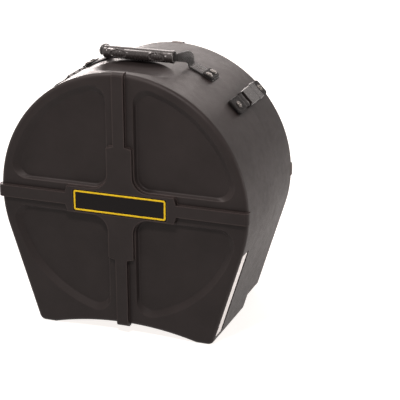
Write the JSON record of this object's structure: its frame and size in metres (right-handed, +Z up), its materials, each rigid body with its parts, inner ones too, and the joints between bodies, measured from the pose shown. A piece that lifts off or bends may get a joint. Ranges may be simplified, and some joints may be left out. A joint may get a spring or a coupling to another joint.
{
  "type": "drum case",
  "caption": "Round-topped two-part moulded drum case that stands on its feet, with strap buckles, a top handle and a blank badge.",
  "frame": {"origin": "on the floor, at the bottom centre of the whole case's box", "axes": "+X to the right of someone facing the badge, +Y from the badge side to the rear, +Z up"},
  "size_m": [0.456, 0.285, 0.485],
  "materials": {
    "shell": "moulded black plastic with a fine satin grain",
    "webbing": "black woven webbing",
    "buckle": "black acetal, semi-gloss",
    "rivet": "blackened steel",
    "grip": "black soft-touch moulding",
    "badge": "black label plate, bare",
    "badge_border": "yellow printed border",
    "label": "blank white write-on label"
  },
  "bodies": {
    "front_case": {"front_shell": "shell", "badge_plate": "badge", "badge_border": "badge_border", "side_label": "label", "handle_clamp_left": "buckle", "handle_backing_left": "rivet", "handle_rivet_left_front": "rivet", "handle_rivet_left_rear": "rivet", "handle_clamp_right": "buckle", "handle_backing_right": "rivet", "handle_rivet_right_front": "rivet", "handle_rivet_right_rear": "rivet", "anchor_front_right": "buckle", "webbing_front_right": "webbing", "rivet_front_right": "rivet", "washer_front_right": "rivet", "buckle_socket_right": "buckle", "anchor_front_left": "buckle", "webbing_front_left": "webbing", "rivet_front_left": "rivet", "washer_front_left": "rivet", "buckle_socket_left": "buckle", "anchor_front_bottom": "buckle", "webbing_front_bottom": "webbing", "rivet_front_bottom": "rivet", "washer_front_bottom": "rivet", "buckle_socket_bottom": "buckle"},
    "rear_case": {"rear_shell": "shell", "anchor_rear_right": "buckle", "webbing_rear_right": "webbing", "rivet_rear_right": "rivet", "washer_rear_right": "rivet", "buckle_plug_right": "buckle", "anchor_rear_left": "buckle", "webbing_rear_left": "webbing", "rivet_rear_left": "rivet", "washer_rear_left": "rivet", "buckle_plug_left": "buckle", "anchor_rear_bottom": "buckle", "webbing_rear_bottom": "webbing", "rivet_rear_bottom": "rivet", "washer_rear_bottom": "rivet", "buckle_plug_bottom": "buckle"},
    "handle_strap": {"handle_strap": "webbing"},
    "handle_grip": {"handle_grip": "grip"},
    "prong_a_right": {"prong_a_right": "buckle"},
    "prong_b_right": {"prong_b_right": "buckle"},
    "prong_a_left": {"prong_a_left": "buckle"},
    "prong_b_left": {"prong_b_left": "buckle"},
    "prong_a_bottom": {"prong_a_bottom": "buckle"},
    "prong_b_bottom": {"prong_b_bottom": "buckle"}
  },
  "joints": [
    {"name": "rear_slide", "type": "slide", "parent": "front_case", "child": "rear_case", "axis": [0, 1, 0], "range_m": [0, 0.25]},
    {"name": "handle_lift", "type": "slide", "parent": "front_case", "child": "handle_strap", "axis": [0, 0, 1], "range_m": [0, 0.012], "deforming": ["handle_strap"]},
    {"name": "grip_shift", "type": "slide", "parent": "handle_strap", "child": "handle_grip", "axis": [1, 0, 0], "range_m": [-0.004, 0.004]},
    {"name": "press_a_right", "type": "hinge", "parent": "rear_case", "child": "prong_a_right", "pos_m": [0.1747, 0.0603, 0.38573], "axis": [-0.7302, 0, -0.6833], "range_deg": [0, 10], "stiffness_Nm_per_rad": 1.7},
    {"name": "press_b_right", "type": "hinge", "parent": "rear_case", "child": "prong_b_right", "pos_m": [0.15898, 0.0603, 0.40253], "axis": [0.7302, 0, 0.6833], "range_deg": [0, 10], "stiffness_Nm_per_rad": 1.7},
    {"name": "press_a_left", "type": "hinge", "parent": "rear_case", "child": "prong_a_left", "pos_m": [-0.15898, 0.0603, 0.40253], "axis": [0.7302, 0, -0.6833], "range_deg": [0, 10], "stiffness_Nm_per_rad": 1.7},
    {"name": "press_b_left", "type": "hinge", "parent": "rear_case", "child": "prong_b_left", "pos_m": [-0.1747, 0.0603, 0.38573], "axis": [-0.7302, 0, 0.6833], "range_deg": [0, 10], "stiffness_Nm_per_rad": 1.7},
    {"name": "press_a_bottom", "type": "hinge", "parent": "rear_case", "child": "prong_a_bottom", "pos_m": [-0.0115, 0.0603, 0.0135], "axis": [0, 0, 1], "range_deg": [0, 10], "stiffness_Nm_per_rad": 1.7},
    {"name": "press_b_bottom", "type": "hinge", "parent": "rear_case", "child": "prong_b_bottom", "pos_m": [0.0115, 0.0603, 0.0135], "axis": [0, 0, -1], "range_deg": [0, 10], "stiffness_Nm_per_rad": 1.7}
  ],
  "couplings": [
    {"joint": "press_b_right", "follows": "press_a_right", "ratio": 1},
    {"joint": "press_b_left", "follows": "press_a_left", "ratio": 1},
    {"joint": "press_b_bottom", "follows": "press_a_bottom", "ratio": 1}
  ]
}
